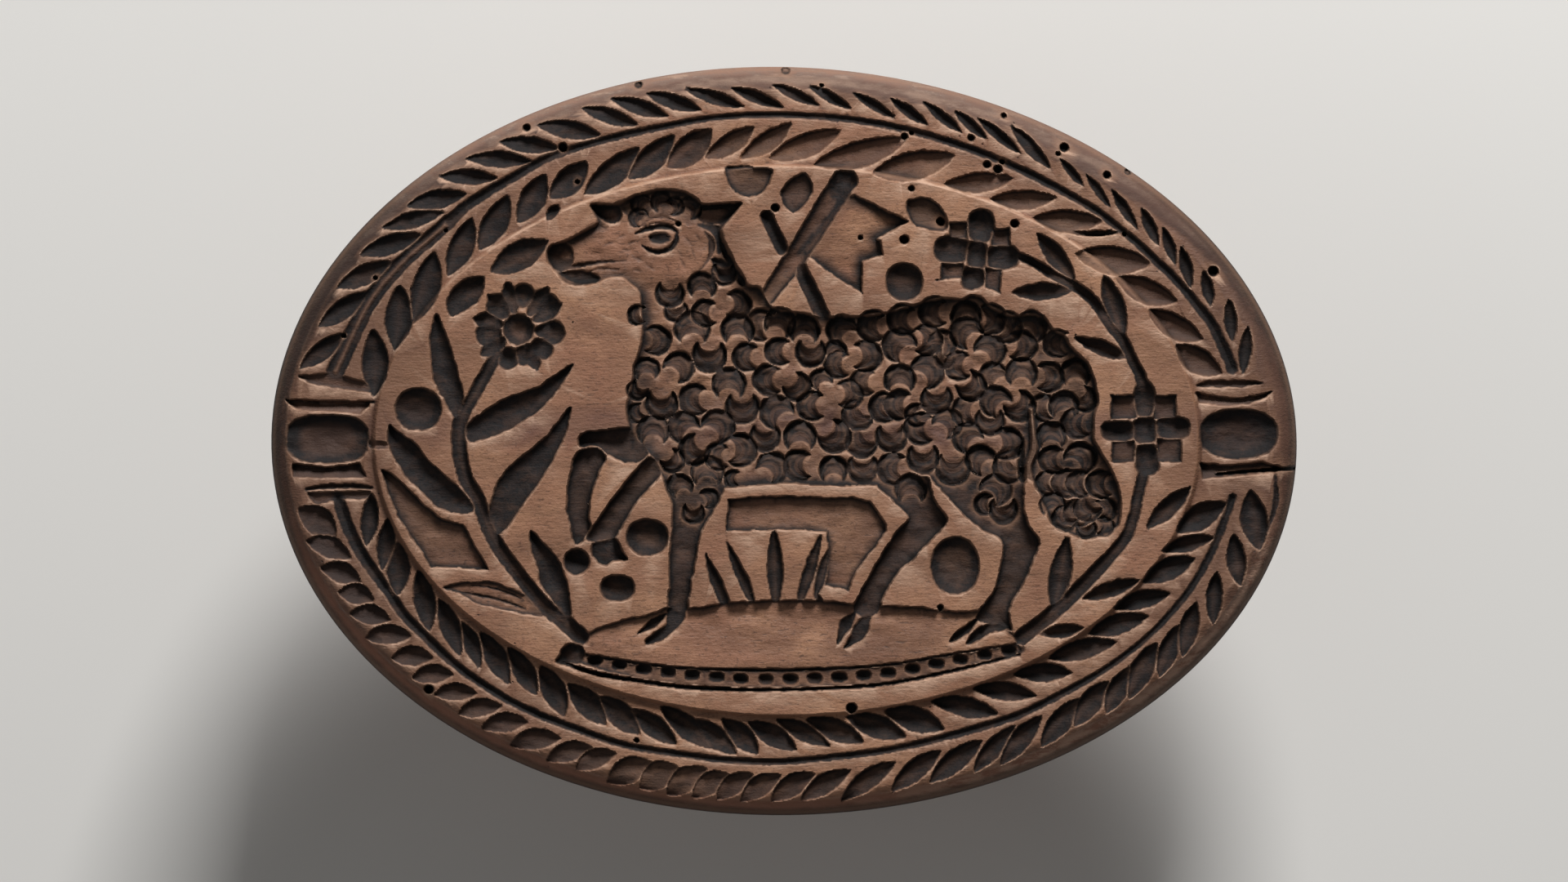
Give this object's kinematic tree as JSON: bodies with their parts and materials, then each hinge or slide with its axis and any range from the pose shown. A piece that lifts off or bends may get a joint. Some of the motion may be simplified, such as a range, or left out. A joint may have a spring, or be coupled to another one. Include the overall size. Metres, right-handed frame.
{
  "type": "carved wooden stamp",
  "caption": "Oval hardwood stamp for butter or dough, its face carved in intaglio with a lamb, plants and a leaf wreath, on a turned handle.",
  "frame": {"origin": "centre of the handle's flat end, on the surface that the stamp stands on", "axes": "+Z square to the carved face and out of it, +X along the block's long axis to the right of the carving, +Y to the top of the carving"},
  "size_m": [0.2, 0.146, 0.0883],
  "materials": {
    "carved_hardwood": "hand carved, waxed and worn satin",
    "turned_hardwood": "turned, waxed and handled satin",
    "split_hardwood": "split and pared, raw"
  },
  "bodies": {
    "root": {"carved_block": "carved_hardwood", "handle": "turned_hardwood", "tenon_wedge": "split_hardwood"}
  },
  "joints": []
}
